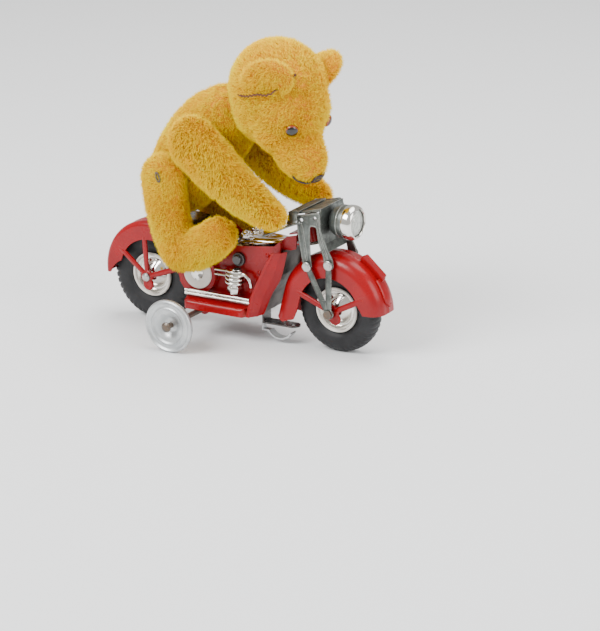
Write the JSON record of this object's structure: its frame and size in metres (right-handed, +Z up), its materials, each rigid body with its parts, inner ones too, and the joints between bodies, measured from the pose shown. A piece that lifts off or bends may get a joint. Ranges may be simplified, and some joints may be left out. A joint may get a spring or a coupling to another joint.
{
  "type": "tin wind-up motorcycle",
  "caption": "Clockwork tinplate motorcycle with stabiliser wheels, turning front fork and a jointed mohair bear as its rider.",
  "frame": {"origin": "middle of the toy's box, on the surface that the wheels stand on", "axes": "+X forwards, +Z up, the rider's left is +Y"},
  "size_m": [0.1328, 0.076, 0.1252],
  "materials": {
    "red_enamel": "glossy stove enamel on tinplate, fine orange peel and rubbed edges",
    "tyre_rubber": "black rubber, slightly greyed",
    "rim_enamel": "nickel-plated pressing with a cream edge ring",
    "mohair": "golden yellow mohair plush over a stuffed body",
    "aged_tinplate": "grey lacquered tinplate, worn and tarnished",
    "nickel": "bright nickel plate",
    "lamp_glass": "moulded ribbed lens",
    "cream_enamel": "cream enamel",
    "black_enamel": "black enamel",
    "brown_enamel": "dark brown enamel",
    "bronze_tinplate": "bronze-lacquered tinplate",
    "gear_brass": "stamped brass",
    "bright_steel": "bright steel",
    "zinc_tinplate": "dull zinc-plated pressing",
    "dark_steel": "dark oxidised steel"
  },
  "bodies": {
    "chassis": {"body_shell_right": "red_enamel", "body_shell_left": "red_enamel", "leg_shield_right": "red_enamel", "leg_shield_left": "red_enamel", "footboard_right": "red_enamel", "footboard_left": "red_enamel", "rear_fender_right": "red_enamel", "rear_fender_left": "red_enamel", "base_plate": "black_enamel", "front_closing_plate": "bronze_tinplate", "tank_cover": "nickel", "filler_caps": "nickel", "saddle": "brown_enamel", "gearbox_rings": "cream_enamel", "gearbox_bosses": "nickel", "engine_right": "nickel", "engine_left": "nickel", "exhaust_pipes": "nickel", "air_cleaners": "black_enamel", "motor_plate_right": "bright_steel", "motor_plate_left": "bright_steel", "motor_pillars": "bright_steel", "mainspring": "bright_steel", "body_rivets": "red_enamel", "steering_bush": "red_enamel", "stabiliser_bracket": "red_enamel", "stabiliser_axle": "dark_steel", "bear_torso": "mohair"},
    "rear_wheel": {"rear_axle": "bright_steel", "rear_pinion": "gear_brass", "rear_rim": "rim_enamel", "rear_tyre": "tyre_rubber"},
    "idler": {"idler_wheel": "gear_brass"},
    "great_wheel": {"great_wheel": "gear_brass"},
    "winding": {"winding_arbor": "bright_steel", "winding_key": "bright_steel"},
    "lever": {"start_stop_lever": "bright_steel"},
    "stabiliser_right": {"stabiliser_wheel_right": "zinc_tinplate"},
    "stabiliser_left": {"stabiliser_wheel_left": "zinc_tinplate"},
    "steering": {"fork_right": "aged_tinplate", "fork_left": "aged_tinplate", "fork_apron": "aged_tinplate", "fork_links": "aged_tinplate", "fork_bolts": "dark_steel", "steering_stem": "bright_steel", "handlebar": "aged_tinplate", "headlamp_shell": "aged_tinplate", "headlamp_bezel": "nickel", "headlamp_lens": "lamp_glass", "front_fender_right": "red_enamel", "front_fender_left": "red_enamel", "number_plate": "red_enamel", "front_axle": "bright_steel"},
    "front_wheel": {"front_rim": "rim_enamel", "front_tyre": "tyre_rubber"},
    "head": {"bear_head": "mohair"},
    "arm_right": {"bear_arm_right": "mohair"},
    "arm_left": {"bear_arm_left": "mohair"},
    "leg_right": {"bear_leg_right": "mohair"},
    "leg_left": {"bear_leg_left": "mohair"}
  },
  "joints": [
    {"name": "rear_wheel_spin", "type": "hinge", "parent": "chassis", "child": "rear_wheel", "pos_m": [-0.04533, 0, 0.0198], "axis": [0, 1, 0], "continuous": true},
    {"name": "idler_spin", "type": "hinge", "parent": "chassis", "child": "idler", "pos_m": [-0.02982, 0, 0.02148], "axis": [0, 1, 0], "continuous": true},
    {"name": "great_wheel_spin", "type": "hinge", "parent": "chassis", "child": "great_wheel", "pos_m": [-0.00783, 0, 0.0275], "axis": [0, 1, 0], "continuous": true},
    {"name": "key_turn", "type": "hinge", "parent": "chassis", "child": "winding", "pos_m": [-0.00783, 0, 0.0275], "axis": [0, 1, 0], "continuous": true},
    {"name": "start_stop_swing", "type": "hinge", "parent": "chassis", "child": "lever", "pos_m": [0.00567, -0.0024, 0.01], "axis": [0, 0, 1], "range_deg": [-8, 12]},
    {"name": "stabiliser_right_spin", "type": "hinge", "parent": "chassis", "child": "stabiliser_right", "pos_m": [-0.01633, -0.035, 0.011], "axis": [0, 1, 0], "continuous": true},
    {"name": "stabiliser_left_spin", "type": "hinge", "parent": "chassis", "child": "stabiliser_left", "pos_m": [-0.01633, 0.035, 0.011], "axis": [0, 1, 0], "continuous": true},
    {"name": "steering_turn", "type": "hinge", "parent": "chassis", "child": "steering", "pos_m": [0.03067, 0, 0.05], "axis": [-0.2419, 0, 0.9703], "range_deg": [-12, 12]},
    {"name": "front_wheel_spin", "type": "hinge", "parent": "steering", "child": "front_wheel", "pos_m": [0.04367, 0, 0.018], "axis": [0, 1, 0], "continuous": true},
    {"name": "head_turn", "type": "hinge", "parent": "chassis", "child": "head", "pos_m": [-0.00133, 0, 0.095], "axis": [0.7986, 0, 0.6018], "range_deg": [-15, 15]},
    {"name": "arm_right_swing", "type": "hinge", "parent": "chassis", "child": "arm_right", "pos_m": [-0.01233, -0.018, 0.083], "axis": [0, 1, 0], "range_deg": [-2.4, 2.4]},
    {"name": "arm_left_swing", "type": "hinge", "parent": "chassis", "child": "arm_left", "pos_m": [-0.01233, 0.018, 0.083], "axis": [0, 1, 0], "range_deg": [-2.4, 2.4]},
    {"name": "leg_right_swing", "type": "hinge", "parent": "chassis", "child": "leg_right", "pos_m": [-0.02883, -0.018, 0.067], "axis": [0, 1, 0], "range_deg": [-8, 1]},
    {"name": "leg_left_swing", "type": "hinge", "parent": "chassis", "child": "leg_left", "pos_m": [-0.02883, 0.018, 0.067], "axis": [0, 1, 0], "range_deg": [-8, 1]}
  ],
  "couplings": [
    {"joint": "idler_spin", "follows": "rear_wheel_spin", "ratio": -0.3},
    {"joint": "great_wheel_spin", "follows": "rear_wheel_spin", "ratio": 0.33333},
    {"joint": "arm_right_swing", "follows": "steering_turn", "ratio": -0.2},
    {"joint": "arm_left_swing", "follows": "steering_turn", "ratio": 0.2}
  ]
}
